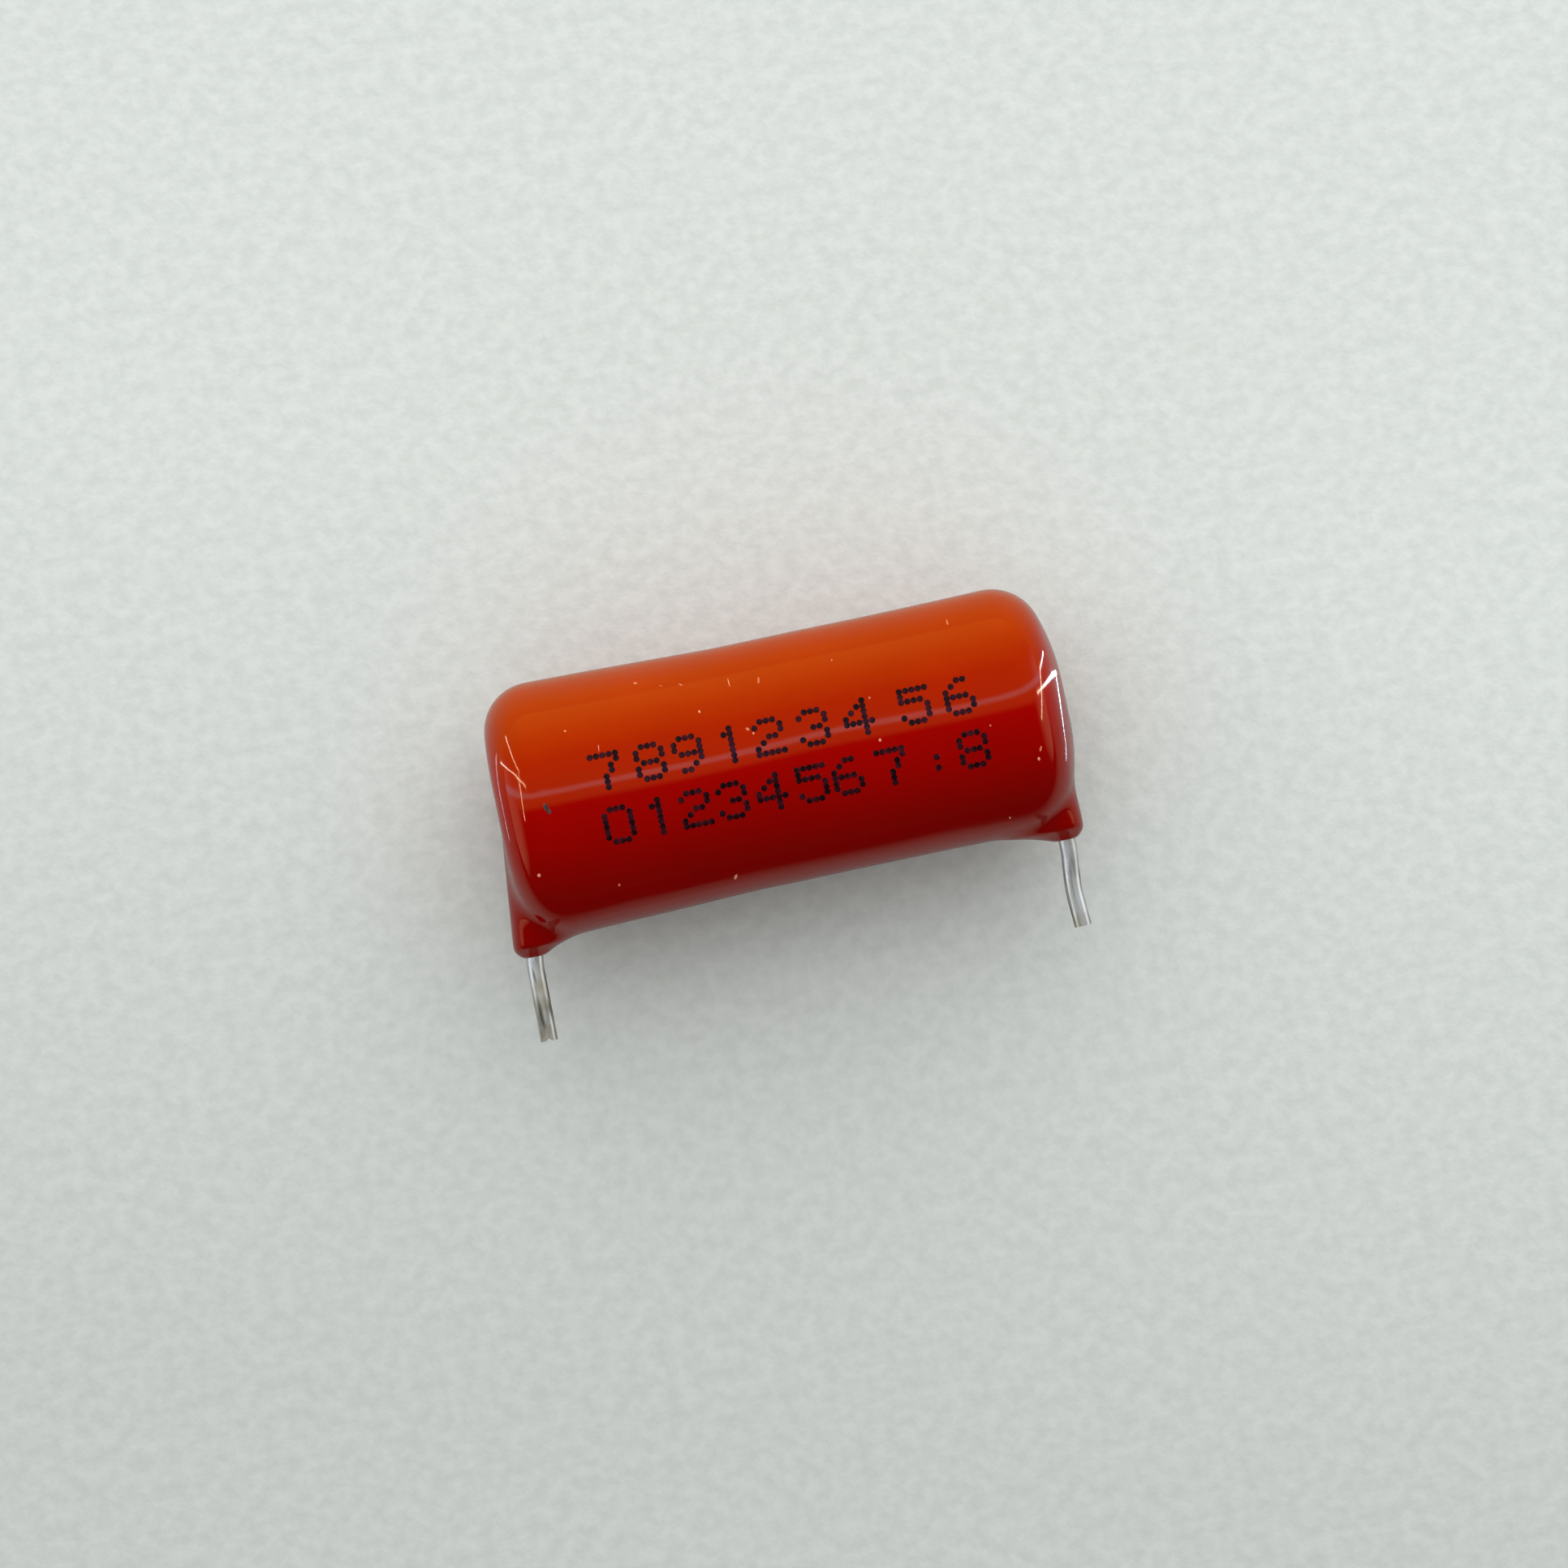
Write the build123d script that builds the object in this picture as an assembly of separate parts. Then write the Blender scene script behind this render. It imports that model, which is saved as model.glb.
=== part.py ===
from build123d import *
import os
from math import acos, atan2, cos, sin, sqrt

# Dipped film capacitor with two radial leads, lying on its side as it comes to rest.
# It is drawn with X along the body from the left lead to the right one, the leads
# towards -Y and Z up, about the middle of the body, and moved to its own frame last.
# The roll is pressed: its section is two half rounds drawn apart by a flat strip, and
# the end contacts and the coat's body have the same strip between their half rounds.
# Sizes are in millimetres. A side is -1 for the left end and 1 for the right end.
LEFT = -1
RIGHT = 1

# ---- Film winding: a roll wound on a mandrel and pressed ----
ROLL_LENGTH = 23.1
ROLL_R = 4.31                # of the half rounds, so half the pressed thickness
PRESSED_FLAT = 1.68          # width of the flat strip along the middle
ROLL_SHIFT = 0.25            # how far to the left the roll sits in its coat
CORE_SLOT_ACROSS = 2.6       # the mandrel's hole, pressed to a slot
CORE_SLOT_THICK = 0.5

# ---- End contacts: metal sprayed on both ends of the roll ----
CONTACT_THICK = 0.45

# ---- Leads: tinned copper wire, down each end contact and out through the coat ----
WIRE_R = 0.4
WIRE_SEAT = 0.1              # how deep a wire is pressed into the sprayed metal
WIRE_TOP_Y = 1.3             # where both wires end, just past the roll's centre
LEFT_TURN_DROP = 3.1         # below its top, where the left wire turns away from its contact
TURN_R = 6.0
LEAD_SPLAY = {LEFT: 0.71, RIGHT: 0.13}       # how far a wire has moved out at its collar
BEND_DROP = 0.4              # a wire runs this far straight on below its collar
KNEE_DROP = 1.76             # the right wire's second bend, below the first
KNEE_IN = 0.18               # and how far inwards it lies
TAIL_DROP = {LEFT: 3.5, RIGHT: 1.85}         # from the last bend to the cut end
TAIL_OUT = {LEFT: 0.07, RIGHT: 0.09}
CUT_NOTCH_WIDTH = 0.3        # the nick that the cutter left in the left lead's end
CUT_NOTCH_DEPTH = 0.14

# ---- Solder joints: a low bevelled bar over each wire's end ----
SOLDER_LENGTH = 2.9
SOLDER_COVER = 0.4           # past the wire's end
SOLDER_WIDTH = 2.2
SOLDER_HEIGHT = 0.85
SOLDER_BEVEL = 0.5

# ---- Epoxy coat: straight at the waist, thicker at the ends ----
COAT_WALL = 0.63             # over the roll at the waist
BULGE_GROWTH = {LEFT: 0.27, RIGHT: 0.06}     # how much further each end stands out
WAIST_REACH = {LEFT: 2.2, RIGHT: 7.0}        # from the middle, where it starts to widen
END_WALL = {LEFT: 1.19, RIGHT: 1.79}         # over the end contact, at the pole
DOME_RISE = {LEFT: 0, RIGHT: 1.3}           # the left end is flat
CORNER_R = {LEFT: 2.3, RIGHT: 2.45}

# ---- Collars: where the coat runs down each lead ----
COLLAR_DROP = {LEFT: 0.64, RIGHT: 0.66}      # below the coat's widest line
COLLAR_TIP_WALL = 0.12       # over the wire at the very tip
COLLAR_TIP_BEVEL = 0.22
COLLAR_OUT = {LEFT: 1.0, RIGHT: 0.96}        # reach outside the wire's centre line
COLLAR_HALF = 1.5            # half width across the body, where it meets it
MENISCUS_REACH = {LEFT: 2.6, RIGHT: 3.9}     # how far the run-down draws in along the body
MENISCUS_SHARE = 0.9         # of the drop, up to where the hollow arc is followed
ROOT_HEIGHT = 1.58           # the collar's root above its tip, inside the coat's wall
ROOT_REACH = 2.25
ROOT_HALF = 1.6
RIB_TOP_Y = 0.3              # where the rib over the wire fades into the end
RIB_TOP_OUT = 0.95
RIB_TOP_REACH = 1.2
ROOT_GAP = 0.1               # the collar's root stops this far from the roll

waist_r = ROLL_R + COAT_WALL


def contact_face_x(side):
    """Outer face of an end contact."""
    return side * (ROLL_LENGTH / 2 + CONTACT_THICK) - ROLL_SHIFT


def pole_x(side):
    """Outermost point of the coat's end, on the body's axis."""
    return contact_face_x(side) + side * END_WALL[side]


def bulge_r(side):
    """Half the coat's thickness at its thickest near one end."""
    return waist_r + BULGE_GROWTH[side]


def wire_seat_x(side):
    return contact_face_x(side) + side * (WIRE_R - WIRE_SEAT)


def collar_tip(side):
    """Point on the wire's centre line where it leaves the coat."""
    widest_y = -bulge_r(side) - PRESSED_FLAT / 2
    return (wire_seat_x(side) + side * LEAD_SPLAY[side], widest_y - COLLAR_DROP[side])


def wire_route(side):
    """Centre line of a lead, from its soldered end to its cut end."""
    route = [Vector(wire_seat_x(side), WIRE_TOP_Y)]
    if side == LEFT:
        route.append(route[0] - Vector(0, LEFT_TURN_DROP))
    tip = Vector(*collar_tip(side))
    route.append(tip + (tip - route[-1]).normalized() * BEND_DROP)
    if side == RIGHT:
        route.append(route[-1] + Vector(-KNEE_IN, -KNEE_DROP))
    route.append(route[-1] + Vector(side * TAIL_OUT[side], -TAIL_DROP[side]))
    return route


def arc_radius(half_chord, rise):
    return (half_chord**2 + rise**2) / (2 * rise)


# ---- Inside pieces ----
def pressed_section(r):
    """Two half rounds with the flat strip between them, across the body."""
    return Plane.YZ * SlotOverall(2 * r + PRESSED_FLAT, 2 * r)


def roll_block():
    return Pos(-ROLL_SHIFT, 0, 0) * extrude(pressed_section(ROLL_R), ROLL_LENGTH / 2, both=True)


def contact_block(side):
    layer = extrude(pressed_section(ROLL_R), CONTACT_THICK / 2, both=True)
    return Pos(contact_face_x(side) - side * CONTACT_THICK / 2, 0, 0) * layer


def film_winding():
    slot = Plane.YZ * SlotOverall(CORE_SLOT_ACROSS, CORE_SLOT_THICK)
    return roll_block() - Pos(-ROLL_SHIFT, 0, 0) * extrude(slot, ROLL_LENGTH, both=True)


def solder_bar(side):
    """Bar that stands on the end contact, before the wire is cut from it."""
    bar = Box(SOLDER_HEIGHT, SOLDER_LENGTH, SOLDER_WIDTH)
    middle_y = WIRE_TOP_Y + SOLDER_COVER - SOLDER_LENGTH / 2
    bar = Pos(contact_face_x(side) + side * SOLDER_HEIGHT / 2, middle_y, 0) * bar
    outer_face = bar.faces().sort_by(Axis.X)[0 if side == LEFT else -1]
    return chamfer(outer_face.edges(), SOLDER_BEVEL)


def lead(side):
    path = FilletPolyline(*wire_route(side), radius=TURN_R)
    start = Plane(origin=path @ 0, z_dir=path % 0)
    wire = sweep(start * Circle(WIRE_R), path=path)
    return wire - cut_notch(path) if side == LEFT else wire


def cut_notch(path):
    """V-shaped nick across the cut end of a wire."""
    outline = Polyline(
        (-CUT_NOTCH_DEPTH, 0),
        (CUT_NOTCH_DEPTH, -CUT_NOTCH_WIDTH),
        (CUT_NOTCH_DEPTH, CUT_NOTCH_WIDTH),
        close=True,
    )
    across = Plane(origin=path @ 1, x_dir=path % 1, z_dir=(0, 0, 1))
    return extrude(across * make_face(outline), 2 * WIRE_R, both=True)


# ---- Coat ----
def end_outline(side):
    """End face, rounded corner, and the taper down to the waist, each tangent to the next."""
    r = CORNER_R[side]
    pole = Vector(pole_x(side), 0)
    waist_end = Vector(side * WAIST_REACH[side], waist_r)
    corner_y = bulge_r(side) - r
    if DOME_RISE[side] > 0:
        dome_r = arc_radius(bulge_r(side), DOME_RISE[side])
        dome_centre = pole - Vector(side * dome_r, 0)
        corner_x = dome_centre.X + side * sqrt((dome_r - r) ** 2 - corner_y**2)
        corner_centre = Vector(corner_x, corner_y)
        corner_start = dome_centre + (corner_centre - dome_centre).normalized() * dome_r
        end_face = TangentArc(pole, corner_start, tangent=(0, 1))
    else:
        corner_centre = pole + Vector(-side * r, corner_y)
        corner_start = pole + Vector(0, corner_y)
        end_face = Line(pole, corner_start)
    # The taper touches the corner where the line to the waist leaves its circle.
    to_waist = waist_end - corner_centre
    lean = acos(r / to_waist.length)
    along = atan2(to_waist.Y, to_waist.X) - side * lean
    corner_end = corner_centre + Vector(cos(along), sin(along)) * r
    corner_middle = corner_centre + Vector(side, 1).normalized() * r
    return [
        end_face,
        ThreePointArc(corner_start, corner_middle, corner_end),
        Line(corner_end, waist_end),
    ]


def coat_body():
    """Dog-bone with domed ends: half rounds about two axes, and the strip between them."""
    axis_line = Line((pole_x(LEFT), 0), (pole_x(RIGHT), 0))
    waist_line = Line((-WAIST_REACH[LEFT], waist_r), (WAIST_REACH[RIGHT], waist_r))
    half_profile = make_face([axis_line, *end_outline(LEFT), waist_line, *end_outline(RIGHT)])
    front = revolve(Rot(-90, 0, 0) * half_profile, Axis.X, revolution_arc=180)
    front = Pos(0, PRESSED_FLAT / 2, 0) * front
    upper = Rot(90, 0, 0) * half_profile
    strip = extrude(upper, PRESSED_FLAT / 2, both=True)
    return strip + mirror(strip, Plane.XY) + front + mirror(front, Plane.XZ)


def egg(side, x, y, outwards, inwards, half_width):
    """Egg-shaped section across a wire: one half reaches outwards, the other inwards."""
    plane = Plane(origin=(x, y, 0), x_dir=(side, 0, 0), z_dir=(0, 1, 0))
    outer = EllipticalCenterArc((0, 0), outwards, half_width, start_angle=-90, arc_size=180)
    inner = EllipticalCenterArc((0, 0), inwards, half_width, start_angle=90, arc_size=180)
    return plane * make_face([outer, inner])


def collar(side):
    """Run-down of the coat: bevelled tip, meniscus against the body, and rib over the wire."""
    tip_x, tip_y = collar_tip(side)
    drop = COLLAR_DROP[side]
    tip_r = WIRE_R + COLLAR_TIP_WALL
    bevel_r = tip_r + COLLAR_TIP_BEVEL
    out = COLLAR_OUT[side]
    reach = MENISCUS_REACH[side]
    meniscus_r = arc_radius(reach - tip_r, drop)

    def centre(y):
        share = (y - tip_y) / (RIB_TOP_Y - tip_y)
        return tip_x + (wire_seat_x(side) - tip_x) * share

    def meniscus(height):
        """Reach along the body of a hollow arc that ends level with it."""
        left_over = drop - height
        return reach - sqrt(2 * meniscus_r * left_over - left_over**2)

    def section(height, outwards, inwards, half_width):
        y = tip_y + height
        return egg(side, centre(y), y, outwards, inwards, half_width)

    tip = section(0, tip_r, tip_r, tip_r)
    flare = []
    for share in (0, 0.5, 1):
        height = COLLAR_TIP_BEVEL + share * (MENISCUS_SHARE * drop - COLLAR_TIP_BEVEL)
        outwards = out - (out - bevel_r) * (1 - share) ** 2
        half_width = COLLAR_HALF - (COLLAR_HALF - bevel_r) * (1 - share)
        flare.append(section(height, outwards, meniscus(height), half_width))
    root = section(ROOT_HEIGHT, out, ROOT_REACH, ROOT_HALF)
    rib_top = section(RIB_TOP_Y - tip_y, RIB_TOP_OUT, RIB_TOP_REACH, COLLAR_HALF)
    whole = loft([tip, flare[0]]) + loft(flare) + loft([flare[-1], root, rib_top], ruled=True)
    return whole - room_for_roll(side)


def room_for_roll(side):
    """Block round the roll and the end contact, a little larger than both."""
    low_y = -ROLL_R - PRESSED_FLAT / 2 - ROOT_GAP
    outer_x = contact_face_x(side) + side * ROOT_GAP
    width = ROLL_LENGTH
    height = 2 * ROLL_R
    return Pos(outer_x - side * width / 2, low_y + height / 2, 0) * Box(width, height, height)


def all_pieces():
    """Every piece by node name, each cut clear of the pieces that it holds."""
    names = {LEFT: "left", RIGHT: "right"}
    pieces = {"film_winding": film_winding()}
    coat = coat_body() + collar(LEFT) + collar(RIGHT)
    coat = coat - roll_block() - contact_block(LEFT) - contact_block(RIGHT)
    for side in (LEFT, RIGHT):
        wire = lead(side)
        bar = solder_bar(side)
        coat = coat - bar - wire
        pieces["end_contact_" + names[side]] = contact_block(side) - wire
        pieces["solder_joint_" + names[side]] = bar - wire
        pieces["lead_" + names[side]] = wire
    pieces["epoxy_coat"] = coat
    return pieces


def to_own_frame(pieces):
    """Zero goes to the middle of the underside of the box round the whole part."""
    box = Compound(list(pieces.values())).bounding_box()
    shift = Pos(-box.center().X, -box.center().Y, -box.min.Z)
    return {name: shift * piece for name, piece in pieces.items()}


os.makedirs("parts", exist_ok=True)
for name, piece in to_own_frame(all_pieces()).items():
    export_step(piece, "parts/" + name + ".step")
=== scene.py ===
from math import cos, pi, radians, sin

import bpy
import numpy as np
from mathutils import Matrix, Vector
from mathutils.bvhtree import BVHTree

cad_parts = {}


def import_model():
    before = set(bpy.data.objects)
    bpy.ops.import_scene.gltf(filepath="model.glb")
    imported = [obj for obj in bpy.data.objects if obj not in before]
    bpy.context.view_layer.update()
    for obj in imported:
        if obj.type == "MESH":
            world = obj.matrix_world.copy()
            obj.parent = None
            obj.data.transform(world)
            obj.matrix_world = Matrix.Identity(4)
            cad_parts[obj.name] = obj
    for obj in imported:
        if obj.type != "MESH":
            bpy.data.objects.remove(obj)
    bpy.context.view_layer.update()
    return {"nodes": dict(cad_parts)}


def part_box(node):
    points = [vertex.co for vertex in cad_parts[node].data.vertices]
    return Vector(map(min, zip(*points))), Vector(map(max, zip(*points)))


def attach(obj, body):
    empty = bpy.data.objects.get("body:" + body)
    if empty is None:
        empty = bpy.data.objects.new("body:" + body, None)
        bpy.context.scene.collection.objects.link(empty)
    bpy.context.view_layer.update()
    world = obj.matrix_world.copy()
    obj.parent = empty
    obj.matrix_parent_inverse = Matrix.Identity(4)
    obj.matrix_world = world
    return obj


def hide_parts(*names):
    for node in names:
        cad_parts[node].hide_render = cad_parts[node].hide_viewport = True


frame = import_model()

# A dipped film capacitor: a glossy red-orange epoxy coat with a dot-printed number on
# top, and two tinned leads. Lengths are in metres; MM turns millimetres into metres.
MM = 0.001
ENDS = ("left", "right")
ROLL_OFFSET = 0.25 * MM      # the roll sits this much left of the coat's middle
coat_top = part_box("epoxy_coat")[1].z
roll_low, roll_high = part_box("film_winding")
body_middle = (roll_low + roll_high) / 2 + Vector((ROLL_OFFSET, 0, 0))
body_x, body_y, body_z = body_middle


# ---- Small helpers ----
def deselect_all():
    for obj in bpy.context.selected_objects:
        obj.select_set(False)


def pick(obj):
    """Makes obj the only selected object, and the active one."""
    deselect_all()
    obj.select_set(True)
    bpy.context.view_layer.objects.active = obj


def apply_modifier(obj, kind, **settings):
    pick(obj)
    modifier = obj.modifiers.new(kind.lower(), kind)
    for name, value in settings.items():
        setattr(modifier, name, value)
    bpy.ops.object.modifier_apply(modifier=modifier.name)


def surface_of(obj):
    """An object's surface, to look up nearest points and hits in."""
    mesh = obj.data
    spots = [vertex.co for vertex in mesh.vertices]
    return BVHTree.FromPolygons(spots, [face.vertices for face in mesh.polygons])


def nearest_distance(surfaces, point):
    """Distance from a point to the nearest of several surfaces."""
    return min(surface.find_nearest(point)[3] for surface in surfaces)


# ---- Materials ----
def new_material(name):
    """A material with its node tree and its shader."""
    material = bpy.data.materials.new(name)
    material.use_nodes = True
    shader = material.node_tree.nodes["Principled BSDF"]
    return material, material.node_tree, shader


def add_node(tree, kind, **settings):
    """A node with values set on its sockets, or else as its own settings."""
    node = tree.nodes.new(kind)
    for name, value in settings.items():
        if name in node.inputs:
            node.inputs[name].default_value = value
        else:
            setattr(node, name, value)
    return node


def object_coordinates(tree):
    return add_node(tree, "ShaderNodeTexCoord").outputs["Object"]


def axis_of(tree, vector, axis):
    """One part of a vector: X, Y or Z."""
    node = add_node(tree, "ShaderNodeSeparateXYZ")
    tree.links.new(vector, node.inputs["Vector"])
    return node.outputs[axis]


def map_range(tree, value, low, high, to_low=0.0, to_high=1.0):
    node = add_node(tree, "ShaderNodeMapRange")
    ends = {"From Min": low, "From Max": high, "To Min": to_low, "To Max": to_high}
    for name, end in ends.items():
        node.inputs[name].default_value = end
    tree.links.new(value, node.inputs["Value"])
    return node.outputs["Result"]


def noise(tree, vector, scale, detail=2.0, roughness=0.5):
    node = add_node(tree, "ShaderNodeTexNoise", Scale=scale, Detail=detail, Roughness=roughness)
    tree.links.new(vector, node.inputs["Vector"])
    return node.outputs["Fac"]


def ramp(tree, factor, stops):
    """Colour ramp with stops of place and grey level or colour."""
    node = add_node(tree, "ShaderNodeValToRGB")
    elements = node.color_ramp.elements
    while len(elements) < len(stops):
        elements.new(1.0)
    for element, (place, colour) in zip(elements, stops):
        element.position = place
        grey = isinstance(colour, (int, float))
        element.color = (colour, colour, colour, 1.0) if grey else (*colour, 1.0)
    tree.links.new(factor, node.inputs["Fac"])
    return node.outputs["Color"]


MIX_FACTOR, MIX_FIRST, MIX_SECOND = 0, 6, 7      # a mix node's sockets for colours
MIX_RESULT = 2


def mix(tree, factor, first, second, blend_type="MIX"):
    """Mixes two colours. Each value is a socket, a number or a colour."""
    node = add_node(tree, "ShaderNodeMix", data_type="RGBA", blend_type=blend_type)
    for index, value in ((MIX_FACTOR, factor), (MIX_FIRST, first), (MIX_SECOND, second)):
        if isinstance(value, bpy.types.NodeSocket):
            tree.links.new(value, node.inputs[index])
        elif isinstance(value, (int, float)):
            node.inputs[index].default_value = value
        else:
            node.inputs[index].default_value = (*value, 1.0)
    return node.outputs[MIX_RESULT]


def multiply(tree, first, second):
    return mix(tree, 1.0, first, second, "MULTIPLY")


def bump(tree, shader, height, distance, strength=1.0):
    node = add_node(tree, "ShaderNodeBump", Strength=strength, Distance=distance)
    tree.links.new(height, node.inputs["Height"])
    tree.links.new(node.outputs["Normal"], shader.inputs["Normal"])


# Painted shade and sheen: the coat's colour is darker red towards the front as shade, and more
# orange towards the back as sheen.
EPOXY_PAINTED_SHADE_SPAN = (-4.0 * MM, 5.0 * MM)          # front to back, from the body's middle
EPOXY_TONES_PAINTED_SHADE_AND_SHEEN = [
    (0.0, (0.232, 0.0001, 0.0)),
    (0.44, (0.338, 0.0003, 0.0)),
    (0.62, (0.375, 0.006, 0.0)),
    (1.0, (0.405, 0.025, 0.0)),
]


def epoxy_material():
    """Red-orange pigmented epoxy with a thin clear gloss; its colour carries painted shade,
    darker red at the front, and a painted sheen, a little more orange at the back.
    """
    material, tree, shader = new_material("epoxy_coat_finish")
    place = object_coordinates(tree)
    front, back = (body_y + end for end in EPOXY_PAINTED_SHADE_SPAN)
    # painted shade and sheen: darker red at the front, more orange at the back
    painted_shade_and_sheen = ramp(tree, map_range(tree, axis_of(tree, place, "Y"), front, back), EPOXY_TONES_PAINTED_SHADE_AND_SHEEN)
    cloudy = ramp(tree, noise(tree, place, 260, detail=3), [(0.3, 0.95), (0.7, 1.03)])
    tree.links.new(multiply(tree, painted_shade_and_sheen, cloudy), shader.inputs["Base Color"])
    shader.inputs["IOR"].default_value = 1.5
    shader.inputs["Specular Tint"].default_value = (1.0, 0.40, 0.10, 1.0)
    patchy = noise(tree, place, 900, detail=2)
    tree.links.new(ramp(tree, patchy, [(0.3, 0.05), (0.7, 0.09)]), shader.inputs["Roughness"])
    shader.inputs["Coat Weight"].default_value = 0.08
    shader.inputs["Coat Roughness"].default_value = 0.03
    shader.inputs["Coat IOR"].default_value = 1.5
    bump(tree, shader, noise(tree, place, 700, detail=1), 0.002 * MM)
    return material


def tinned_material():
    """Dull bright tin, drawn lengthwise, with scuffs, dark draw marks and a faint film."""
    material, tree, shader = new_material("tinned_wire")
    place = object_coordinates(tree)
    stretch = add_node(tree, "ShaderNodeMapping", Scale=(1.0, 0.15, 1.0))
    tree.links.new(place, stretch.inputs["Vector"])
    drawn = stretch.outputs["Vector"]
    lengthwise = noise(tree, drawn, 3200, detail=3)
    marks = noise(tree, drawn, 2100, detail=2)
    film = noise(tree, place, 500, detail=2)
    tin = ramp(tree, lengthwise, [(0.32, (0.56, 0.56, 0.52)), (0.6, (0.88, 0.88, 0.85))])
    filmed = ramp(tree, film, [(0.48, (1.0, 1.0, 1.0)), (0.64, (0.74, 0.68, 0.56))])
    marked = ramp(tree, marks, [(0.36, (0.30, 0.28, 0.25)), (0.45, (1.0, 1.0, 1.0))])
    colour = multiply(tree, multiply(tree, tin, filmed), marked)
    tree.links.new(colour, shader.inputs["Base Color"])
    shader.inputs["Metallic"].default_value = 0.85
    scuffs = noise(tree, place, 1100, detail=1)
    tree.links.new(ramp(tree, scuffs, [(0.3, 0.26), (0.7, 0.36)]), shader.inputs["Roughness"])
    dents = noise(tree, drawn, 1800, detail=1)
    bump(tree, shader, mix(tree, 0.5, dents, scuffs), 0.005 * MM)
    return material


def plain_material(name, colour, metallic, roughness, grain):
    """Finish of a piece inside the coat, a quarter lighter in places."""
    material, tree, shader = new_material(name)
    grains = noise(tree, object_coordinates(tree), grain, detail=4)
    lighter = tuple(min(1.0, part * 1.25) for part in colour)
    tree.links.new(mix(tree, grains, colour, lighter), shader.inputs["Base Color"])
    shader.inputs["Metallic"].default_value = metallic
    shader.inputs["Roughness"].default_value = roughness
    bump(tree, shader, grains, 0.02 * MM)
    return material


def ink_material():
    """Thin purple-black ink that the clear gloss hardly lifts."""
    material, tree, shader = new_material("print_ink")
    mottled = noise(tree, object_coordinates(tree), 3000, detail=2)
    colour = ramp(tree, mottled, [(0.4, (0.010, 0.002, 0.003)), (0.7, (0.050, 0.006, 0.012))])
    tree.links.new(colour, shader.inputs["Base Color"])
    shader.inputs["Specular IOR Level"].default_value = 0.12
    shader.inputs["Specular Tint"].default_value = (0.8, 0.7, 1.0, 1.0)
    shader.inputs["Roughness"].default_value = 0.3
    return material


def fleck_material(name, dark, pale):
    """Matt speck, mottled between two colours."""
    material, tree, shader = new_material(name)
    mottled = noise(tree, object_coordinates(tree), 2500, detail=2)
    colour = ramp(tree, mottled, [(0.4, dark), (0.6, pale)])
    tree.links.new(colour, shader.inputs["Base Color"])
    shader.inputs["Roughness"].default_value = 0.4
    return material


def paint(obj, material):
    obj.data.materials.clear()
    obj.data.materials.append(material)


# ---- Epoxy coat: the CAD coat's outer skin, melted into one flowing surface ----
SEAT_GAP = 0.03 * MM         # CAD coat faces this near an inner piece are its inside
VOXEL = 0.13 * MM
MELT_STEPS = 12
HOLLOW_LEAST = 0.0005        # hollowness that stays, as depth over the voxel's size
HOLLOW_STEPS = 1400
HOLLOW_PUSH = 0.9            # share of its depth that a hollow rises in one step
HOLLOW_MELT_STEPS = 4
HOLLOWS_BESIDE = 7.0 * MM    # the collars lie further than this beside the body's middle,
HOLLOWS_BEFORE = 0.5 * MM    # and further than this in front of it
RIPPLE_LENGTH = 4.5 * MM
RIPPLE_DEPTH = 0.06 * MM
CROWN_SINK = 0.09 * MM
CROWN_REACH = 1.9 * MM       # from the body's middle plane
CROWN_FADE = 3.0 * MM        # above and below the middle, where the sinking is whole


def epoxy_skin():
    """The CAD coat without its inside, remeshed evenly and softened like dipped resin."""
    skin = frame["nodes"]["epoxy_coat"].copy()
    skin.data = skin.data.copy()
    skin.name = "epoxy_skin"
    for key in list(skin.keys()):
        del skin[key]
    skin.parent = None
    bpy.context.scene.collection.objects.link(skin)
    pick(skin)
    bpy.ops.object.mode_set(mode="EDIT")
    bpy.ops.mesh.select_all(action="SELECT")
    bpy.ops.mesh.remove_doubles(threshold=0.001 * MM)
    bpy.ops.mesh.select_all(action="DESELECT")
    bpy.ops.object.mode_set(mode="OBJECT")
    inner = [surface_of(node) for name, node in frame["nodes"].items() if name != "epoxy_coat"]
    for face in skin.data.polygons:
        corners = [skin.data.vertices[v].co for v in face.vertices]
        near = max(nearest_distance(inner, point) for point in [face.center, *corners])
        face.select = near < SEAT_GAP
    bpy.ops.object.mode_set(mode="EDIT")
    bpy.ops.mesh.select_mode(type="FACE")
    bpy.ops.mesh.delete(type="FACE")
    bpy.ops.mesh.select_mode(type="EDGE")
    bpy.ops.mesh.select_all(action="DESELECT")
    bpy.ops.mesh.select_non_manifold(extend=False)
    bpy.ops.mesh.fill()
    bpy.ops.mesh.select_all(action="SELECT")
    bpy.ops.mesh.normals_make_consistent(inside=False)
    bpy.ops.object.mode_set(mode="OBJECT")
    apply_modifier(skin, "REMESH", mode="VOXEL", voxel_size=VOXEL, adaptivity=0.0)
    apply_modifier(skin, "SMOOTH", factor=0.5, iterations=MELT_STEPS)
    fill_hollows(skin)
    crown_flats(skin)
    ripple(skin)
    pick(skin)
    bpy.ops.object.shade_smooth()
    return skin


def sums_at(count, where, values):
    """Adds up rows of values at the vertices they belong to."""
    sums = [np.bincount(where, weights=column, minlength=count) for column in values.T]
    return np.stack(sums, 1)


def rows_of(parts, name, width, kind):
    """A property of all of a mesh's parts, as rows of an array."""
    values = np.empty(len(parts) * width, dtype=kind)
    parts.foreach_get(name, values)
    return values.reshape(-1, width)


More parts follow.
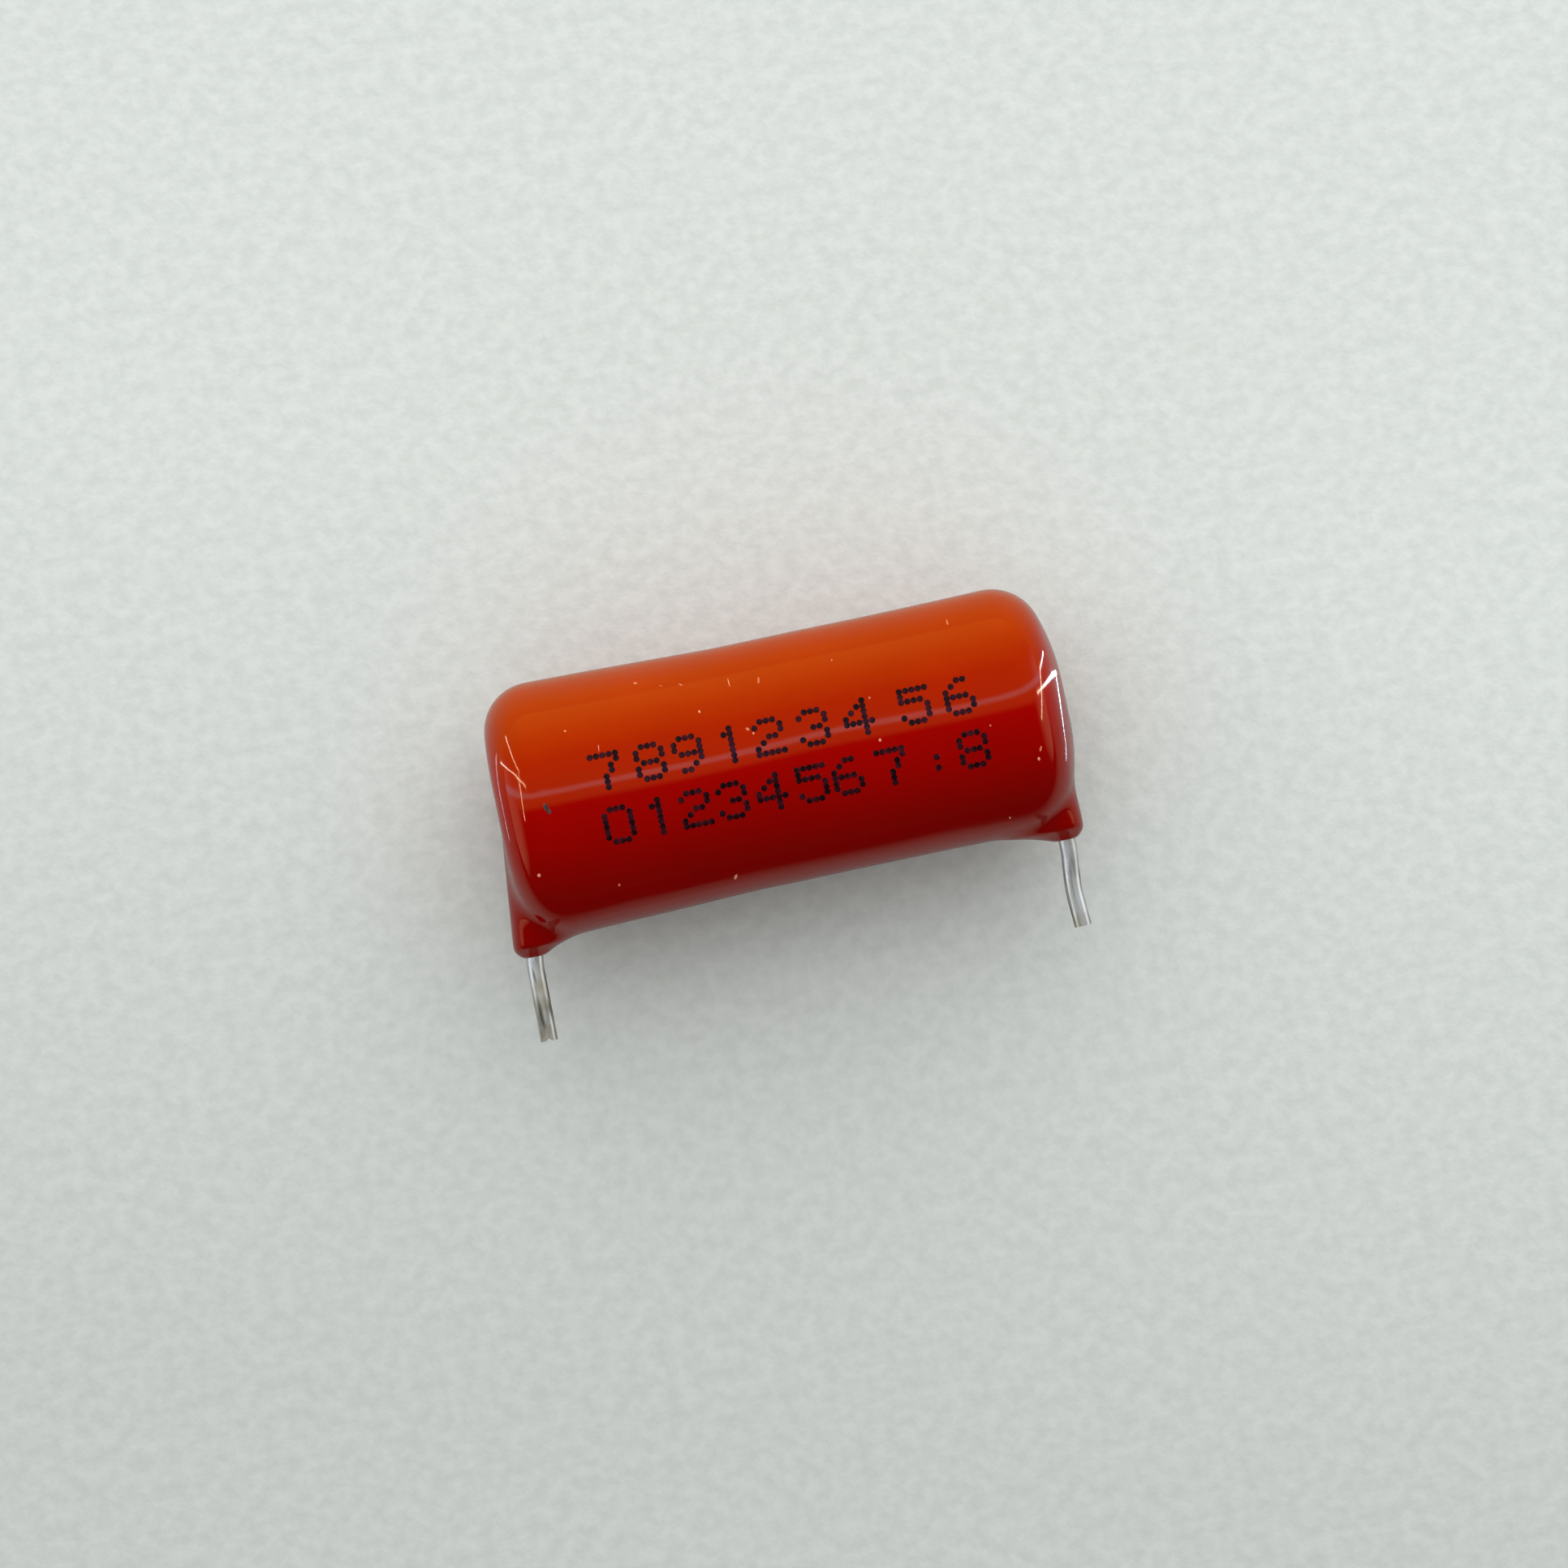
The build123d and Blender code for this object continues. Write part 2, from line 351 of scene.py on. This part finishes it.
def fill_hollows(skin):
    """Lets the coat run into the sharp hollows round the collars, as the wet resin did:
    only what is more hollow than a wide fillet rises, until it is one."""
    mesh = skin.data
    mesh.calc_loop_triangles()
    spots = rows_of(mesh.vertices, "co", 3, float)
    edges = rows_of(mesh.edges, "vertices", 2, int)
    faces = rows_of(mesh.loop_triangles, "vertices", 3, int)

    beside = abs(spots[:, 0] - body_x) > HOLLOWS_BESIDE
    near_collars = beside & (spots[:, 1] < body_y - HOLLOWS_BEFORE)
    within = near_collars[edges]
    rim = np.zeros(len(spots), dtype=bool)               # borders on the rest, so it stays put
    rim[edges[within.any(1) & ~within.all(1)]] = True
    number = np.cumsum(near_collars) - 1                 # of each vertex, in the rows of resin
    one, other = number[edges[within.all(1)]].T
    corners = number[faces[near_collars[faces].all(1)]].T
    resin, free = spots[near_collars], ~rim[near_collars]
    count = len(resin)
    neighbours = np.bincount(np.concatenate([one, other]), minlength=count)
    neighbours = np.maximum(neighbours, 1)[:, None]
    for _ in range(HOLLOW_STEPS):
        around = sums_at(count, one, resin[other]) + sums_at(count, other, resin[one])
        around /= neighbours
        a, b, c = (resin[corner] for corner in corners)
        face = np.cross(b - a, c - a)
        normal = sum(sums_at(count, corner, face) for corner in corners)
        normal /= np.maximum(np.linalg.norm(normal, axis=1), 1e-30)[:, None]
        depth = ((around - resin) * normal).sum(1) - HOLLOW_LEAST * VOXEL
        resin += normal * (HOLLOW_PUSH * np.maximum(depth, 0) * free)[:, None]
    spots[near_collars] = resin
    mesh.vertices.foreach_set("co", spots.ravel())
    mesh.update()
    apply_modifier(skin, "SMOOTH", factor=0.5, iterations=HOLLOW_MELT_STEPS)


def ripple(skin):
    """The faint waviness of a dipped surface, all of it inwards."""
    waves = bpy.data.textures.new("dip_waves", "CLOUDS")
    waves.noise_scale = RIPPLE_LENGTH
    waves.noise_depth = 0
    apply_modifier(skin, "DISPLACE", texture=waves, texture_coords="LOCAL", mid_level=1.0,
                   strength=RIPPLE_DEPTH)
    bpy.data.textures.remove(waves)


def crown_flats(skin):
    """Rounds off the flat strips on top and below, by sinking what lies beside them."""
    for vertex in skin.data.vertices:
        place = vertex.co
        beside = min(abs(place.y - body_y) / CROWN_REACH, 1.0)
        upward = max(-1.0, min(1.0, (place.z - body_z) / CROWN_FADE))
        place.z -= upward * CROWN_SINK * (1 - cos(pi * beside)) / 2


# ---- Dot print ----
DIGITS = {                   # rows of five dots, from the top
    "0": ("01110", "10001", "10001", "10001", "10001", "10001", "01110"),
    "1": ("00100", "01100", "00100", "00100", "00100", "00100", "00100"),
    "2": ("01110", "10001", "00001", "00110", "01000", "10000", "11111"),
    "3": ("01110", "10001", "00001", "00110", "00001", "10001", "01110"),
    "4": ("00010", "00110", "01010", "10010", "11111", "00010", "00010"),
    "5": ("11111", "10000", "11110", "00001", "00001", "10001", "01110"),
    "6": ("00110", "01000", "10000", "11110", "10001", "10001", "01110"),
    "7": ("11111", "00001", "00010", "00010", "00100", "00100", "00100"),
    "8": ("01110", "10001", "10001", "01110", "10001", "10001", "01110"),
    "9": ("01110", "10001", "10001", "01111", "00001", "00010", "01100"),
    ":": ("00000", "00000", "00000", "00100", "00000", "00100", "00000"),
}
DOT_R = 0.161 * MM
DOT_ACROSS = 0.294 * MM
DOT_DOWN = 0.248 * MM
DOT_SIDES = 12
DOT_TOP = 0.85               # width of a dot's top over its foot's
INK_RISE = 0.012 * MM        # and its foot lies as deep in the coat
MIDDLE_ROW = 3
LINES = [                    # text, y of its middle, and x of its figures' left dots in mm
    ("789123456", 1.13 * MM,
     (-8.65, -6.56, -4.79, -2.74, -1.0, 1.08, 3.19, 5.83, 7.91)),
    ("01234567:8", -1.39 * MM,
     (-8.54, -6.62, -4.96, -3.23, -1.41, 0.51, 2.16, 4.23, 6.32, 8.06)),
]


def ink_dot():
    """One drop of ink: a low round button, a little narrower on top."""
    deselect_all()
    bpy.ops.mesh.primitive_circle_add(vertices=DOT_SIDES, radius=DOT_R, fill_type="NGON")
    dot = bpy.context.object
    bpy.ops.object.mode_set(mode="EDIT")
    bpy.ops.mesh.select_all(action="SELECT")
    bpy.ops.mesh.extrude_region_move(TRANSFORM_OT_translate={"value": (0, 0, INK_RISE)})
    bpy.ops.transform.resize(value=(DOT_TOP, DOT_TOP, 1.0))
    bpy.ops.mesh.select_all(action="SELECT")
    bpy.ops.mesh.quads_convert_to_tris()
    bpy.ops.mesh.normals_make_consistent(inside=False)
    bpy.ops.object.mode_set(mode="OBJECT")
    return dot


def print_places():
    """Every dot's place, as press_on takes it."""
    for text, middle, lefts in LINES:
        for sign, left in zip(text, lefts):
            for row, dots in enumerate(DIGITS[sign]):
                for column, inked in enumerate(dots):
                    if inked == "1":
                        x = left * MM + column * DOT_ACROSS
                        y = middle + (MIDDLE_ROW - row) * DOT_DOWN
                        yield x, y, 1, 1, 0


def press_on(name, button, places, skin):
    """Copies of a button pressed down onto the coat and joined, one at each place: x and y
    from the body's middle, half length and half width as shares of the button's, and turn."""
    surface = surface_of(skin)
    copies = []
    for x, y, long, wide, turn in places:
        copy = button.copy()
        copy.data = button.data.copy()
        bpy.context.scene.collection.objects.link(copy)
        for vertex in copy.data.vertices:
            across, up, lift = vertex.co.x * wide, vertex.co.y * long, vertex.co.z
            start = Vector((body_x + x + across * cos(turn) - up * sin(turn),
                            body_y + y + across * sin(turn) + up * cos(turn), coat_top + MM))
            hit = surface.ray_cast(start, Vector((0, 0, -1)))[0]
            vertex.co = hit + Vector((0, 0, lift if lift > 0 else -INK_RISE))
        copies.append(copy)
    deselect_all()
    for copy in copies:
        copy.select_set(True)
    bpy.context.view_layer.objects.active = copies[0]
    bpy.ops.object.join()
    piece = bpy.context.object
    piece.name = name
    return piece


# ---- Small blemishes of the dip ----
# Pale specks at small pits of the dip: the pits are real, their paleness is a painted highlight
# of the light they catch.
PIT_FLECKS_PAINTED_HIGHLIGHT = [                   # x, y from the body's middle, half length, half width in mm, turn
    (-12.06, -2.91, 0.09, 0.085, 0), (-8.57, -4.11, 0.07, 0.0595, 0),
    (-3.26, -4.88, 0.14, 0.068, -35), (-3.30, 2.91, 0.08, 0.051, 20),
    (-9.51, 3.32, 0.07, 0.051, 60), (-0.35, 3.76, 0.16, 0.0595, -12),
    (-1.71, 3.95, 0.22, 0.0255, 3), (8.72, 4.59, 0.14, 0.0425, 2),
    (4.53, -0.09, 0.08, 0.068, 0), (11.66, -2.01, 0.14, 0.051, -25),
    (11.49, -2.45, 0.09, 0.068, 0), (-5.94, 4.84, 0.10, 0.0425, 75),
    (-1.30, 1.66, 0.11, 0.068, 40), (-1.08, 1.42, 0.07, 0.051, 0),
    (-8.16, 2.21, 0.19, 0.0213, -6), (4.46, 1.91, 0.06, 0.051, 0),
    (-3.90, 4.32, 0.11, 0.0255, 55), (9.61, -0.49, 0.04, 0.0425, 0),
    (9.69, -4.84, 0.05, 0.0425, 0), (3.14, 3.97, 0.05, 0.034, 0),
    (-4.80, 4.46, 0.09, 0.017, 50),
]
SMUDGES = [(-11.06, 0.06, 0.23, 0.12, 12), (-10.96, -0.16, 0.13, 0.09, -20)]


def blemish_places(blemishes):
    """Places as press_on takes them, from lengths in mm and turns in degrees."""
    for x, y, long, wide, turn in blemishes:
        yield x * MM, y * MM, long * MM / DOT_R, wide * MM / DOT_R, radians(turn)


# ---- Floor, camera and light ----
VIEW_TURN = radians(12)      # the body rises by this much to the right in view
VIEW_WIDTH = 73.2 * MM       # seen at the height of the body's middle
VIEW_DISTANCE = 0.26
VIEW_BELOW = 1.16 * MM       # the view's middle lies this far below the body's,
VIEW_BESIDE = 0.05 * MM      # and this far to its right
SENSOR = 36
view_right = Vector((cos(VIEW_TURN), -sin(VIEW_TURN), 0))
view_up = Vector((sin(VIEW_TURN), cos(VIEW_TURN), 0))

FLOOR_SIZE = 3.0
# Painted light: the table's colour brightens towards the back and a little to the right, as lamp
# light falls off.
PAINTED_LIGHT_TOWARDS = (0.35, 1.0, 0.0)                 # the table gets paler this way,
PAINTED_LIGHT_SPAN = (-32 * MM, 15 * MM)                 # over this stretch,
PAINTED_LIGHT_RANGE = (0.84, 1.03)                       # by these factors
# Painted reflection: in gloss only, the table is darkened in front of the body as painted shade
# and yellowed at the back as a painted warm sheen.
PAINTED_REFLECTION_SPAN = (-50 * MM, 50 * MM)                 # front to back
PAINTED_REFLECTION_TABLE = [              # what gloss shows of the table, as factors of its colour
    (0.20, 0.04),
    (0.37, 0.62),
    (0.57, 0.62),
    (0.64, (0.70, 0.68, 0.42)),
    (0.90, (1.2, 0.9, 0.2)),
]


def floor():
    """Pale matt table, its colour painted paler towards the back and right as painted light. In
    gloss it fades in front of the body as painted shade and turns yellow at the back as a
    painted warm reflection.
    """
    deselect_all()
    bpy.ops.mesh.primitive_plane_add(size=FLOOR_SIZE, location=(0, 0, 0))
    plane = bpy.context.object
    plane.name = "floor"
    material, tree, shader = new_material("pale_table")
    place = object_coordinates(tree)
    mottled = noise(tree, place, 1300, detail=3, roughness=0.6)
    table = ramp(tree, mottled, [(0.35, (0.655, 0.695, 0.665)), (0.65, (0.725, 0.765, 0.735))])
    # painted light: the table's colour grows paler towards the back and right
    painted_light_slant = add_node(tree, "ShaderNodeVectorMath", operation="DOT_PRODUCT")
    tree.links.new(place, painted_light_slant.inputs[0])
    painted_light_slant.inputs[1].default_value = PAINTED_LIGHT_TOWARDS
    painted_light = map_range(tree, painted_light_slant.outputs["Value"], *PAINTED_LIGHT_SPAN, *PAINTED_LIGHT_RANGE)
    colour = multiply(tree, table, painted_light)
    painted_reflection = ramp(tree, map_range(tree, axis_of(tree, place, "Y"), *PAINTED_REFLECTION_SPAN), PAINTED_REFLECTION_TABLE)
    in_gloss = add_node(tree, "ShaderNodeLightPath").outputs["Is Glossy Ray"]
    # painted reflection: gloss sees the table darker in front and yellower at the back
    colour = mix(tree, in_gloss, colour, multiply(tree, colour, painted_reflection))
    tree.links.new(colour, shader.inputs["Base Color"])
    shader.inputs["Roughness"].default_value = 0.8
    shader.inputs["Specular IOR Level"].default_value = 0.0
    bump(tree, shader, noise(tree, place, 1300, detail=5), 0.08 * MM, strength=0.6)
    paint(plane, material)


def camera():
    """Looks straight down on the body."""
    data = bpy.data.cameras.new("camera")
    data.sensor_width = SENSOR
    data.lens = SENSOR * VIEW_DISTANCE / VIEW_WIDTH
    obj = bpy.data.objects.new("camera", data)
    bpy.context.scene.collection.objects.link(obj)
    aim = body_middle - VIEW_BELOW * view_up + VIEW_BESIDE * view_right
    obj.location = aim + Vector((0, 0, VIEW_DISTANCE))
    obj.rotation_euler = (0, 0, -VIEW_TURN)
    bpy.context.scene.camera = obj


def rectangle_lamp(name, size, power, colour=(1, 1, 1)):
    """Rectangular lamp that the camera doesn't see, still to be put in its place."""
    data = bpy.data.lights.new(name, "AREA")
    data.shape = "RECTANGLE"
    data.size, data.size_y = size
    data.energy = power
    data.color = colour
    lamp = bpy.data.objects.new(name, data)
    bpy.context.scene.collection.objects.link(lamp)
    lamp.visible_camera = False
    return lamp


WINDOW_SLOPE = radians(52)   # from straight above
WINDOW_TURN = radians(21)    # from straight behind, to the right
WINDOW_AWAY = 0.45
WINDOW_SIZE = (0.62, 0.55)
WINDOW_POWER = 0.86


def window():
    """One large soft lamp behind and above, a little to the right, that gloss doesn't show."""
    towards = Vector((sin(WINDOW_SLOPE) * sin(WINDOW_TURN), sin(WINDOW_SLOPE) * cos(WINDOW_TURN),
                      cos(WINDOW_SLOPE)))
    lamp = rectangle_lamp("window", WINDOW_SIZE, WINDOW_POWER)
    lamp.location = body_middle + WINDOW_AWAY * towards
    lamp.rotation_euler = (-towards).to_track_quat("-Z", "Y").to_euler()
    lamp.visible_glossy = False


GLINT_COLOUR = (0.45, 0.75, 1.0)
GLINTS = {                   # width in mm, radiance, and points in mm from the body's middle
    "left_outer": (0.11, 34, [(-22.7, 7.2, -0.7), (-23.4, 4.9, -1.5), (-23.5, -1.9, -1.8)]),
    "left_inner": (0.26, 38, [(-20.8, 12.1, 3.2), (-20.0, 6.6, 12.5), (-21.9, -1.0, 12.0)]),
    "left_cross": (0.24, 38, [(-23.7, 6.9, 2.0), (-18.1, 4.1, 14.8)]),
    "right_inner": (0.28, 38, [(21.9, 4.5, -4.1), (24.1, 3.8, 2.8), (23.2, -1.9, 8.8)]),
    "right_outer": (0.15, 30, [(16.6, 1.5, -4.4), (20.2, -4.9, -4.4)]),
    "right_cross": (0.28, 42, [(23.4, 1.5, 8.2), (16.3, 1.5, -4.4)]),
}


def glints():
    """Thin lamps that only gloss shows, as bright lines on the coat's round ends."""
    for name, (width, radiance, points) in GLINTS.items():
        points = [body_middle + Vector(point) * MM for point in points]
        for start, end in zip(points, points[1:]):
            along = end - start
            size = (along.length, width * MM)
            power = radiance * pi * size[0] * size[1]
            lamp = rectangle_lamp("glint_" + name, size, power, GLINT_COLOUR)
            away = (start + end) / 2 - body_middle
            x_axis = along.normalized()
            z_axis = (away - x_axis * away.dot(x_axis)).normalized()
            y_axis = z_axis.cross(x_axis)
            turn = Matrix((x_axis, y_axis, z_axis)).transposed().to_4x4()
            lamp.matrix_world = Matrix.Translation((start + end) / 2) @ turn
            lamp.visible_diffuse = False


# Colours of the surroundings from the front (0) over straight above (0.5) to the back (1)
ROOM = (0.95, 0.72, 0.30)
TUBE = (1.0, 2.6, 5.2)
FAR_ROOM = (1.32, 1.20, 0.22)
SKY_IN_GLOSS = [
    (0.0, 0.05), (0.503, 0.03), (0.53, ROOM), (0.565, ROOM), (0.575, TUBE), (0.59, TUBE),
    (0.605, ROOM), (0.75, (0.70, 0.45, 0.08)), (0.93, (1.05, 0.95, 0.16)), (0.975, FAR_ROOM),
    (1.0, FAR_ROOM),
]
SIDES_IN_GLOSS = [(0.0, 0.0), (0.86, 0.03), (0.96, 1.2), (1.0, 1.2)]     # middle to sides
SOFT_LIGHT = [(0.0, 0.52), (0.45, 0.52), (0.6, 1.10), (1.0, 1.30)]
BACKDROP = (0.80, 0.83, 0.81)


def world():
    """Bright at the back, dim at the front where someone leans over, with one long tube."""
    scene_world = bpy.data.worlds.new("world")
    bpy.context.scene.world = scene_world
    scene_world.use_nodes = True
    tree = scene_world.node_tree
    direction = add_node(tree, "ShaderNodeTexCoord").outputs["Generated"]
    backwards = map_range(tree, axis_of(tree, direction, "Y"), -1, 1)
    sideways = add_node(tree, "ShaderNodeMath", operation="ABSOLUTE")
    tree.links.new(axis_of(tree, direction, "X"), sideways.inputs[0])
    sides = ramp(tree, sideways.outputs[0], SIDES_IN_GLOSS)
    sky = mix(tree, 1.0, ramp(tree, backwards, SKY_IN_GLOSS), sides, "LIGHTEN")
    rays = add_node(tree, "ShaderNodeLightPath")
    light = mix(tree, rays.outputs["Is Glossy Ray"], ramp(tree, backwards, SOFT_LIGHT), sky)
    seen = mix(tree, rays.outputs["Is Camera Ray"], light, BACKDROP)
    tree.links.new(seen, tree.nodes["Background"].inputs["Color"])


# ---- Put together ----
skin = epoxy_skin()
paint(skin, epoxy_material())
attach(skin, "root")
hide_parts("epoxy_coat")

dot = ink_dot()
on_the_coat = [
    ("number_print", print_places(), ink_material()),
    # the pits' pale specks are painted highlights
    ("pit_flecks_painted_highlight", blemish_places(PIT_FLECKS_PAINTED_HIGHLIGHT),
     fleck_material("fleck_painted_highlight", (0.62, 0.12, 0.03), (0.80, 0.36, 0.20))),
    ("grey_smudge", blemish_places(SMUDGES),
     fleck_material("smudge_dirt", (0.04, 0.012, 0.010), (0.10, 0.045, 0.035))),
]
for name, places, finish in on_the_coat:
    piece = press_on(name, dot, places, skin)
    paint(piece, finish)
    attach(piece, "root")
bpy.data.objects.remove(dot)

tinned = tinned_material()
sprayed = plain_material("sprayed_metal", (0.55, 0.54, 0.52), 0.9, 0.6, 4000)
solder = plain_material("solder", (0.6, 0.6, 0.6), 1.0, 0.3, 1500)
film = plain_material("wound_film", (0.62, 0.62, 0.60), 0.2, 0.35, 600)
paint(frame["nodes"]["film_winding"], film)
for end in ENDS:
    paint(frame["nodes"]["lead_" + end], tinned)
    paint(frame["nodes"]["end_contact_" + end], sprayed)
    paint(frame["nodes"]["solder_joint_" + end], solder)

floor()
camera()
window()
glints()
world()
bpy.context.scene.view_settings.view_transform = "Standard"
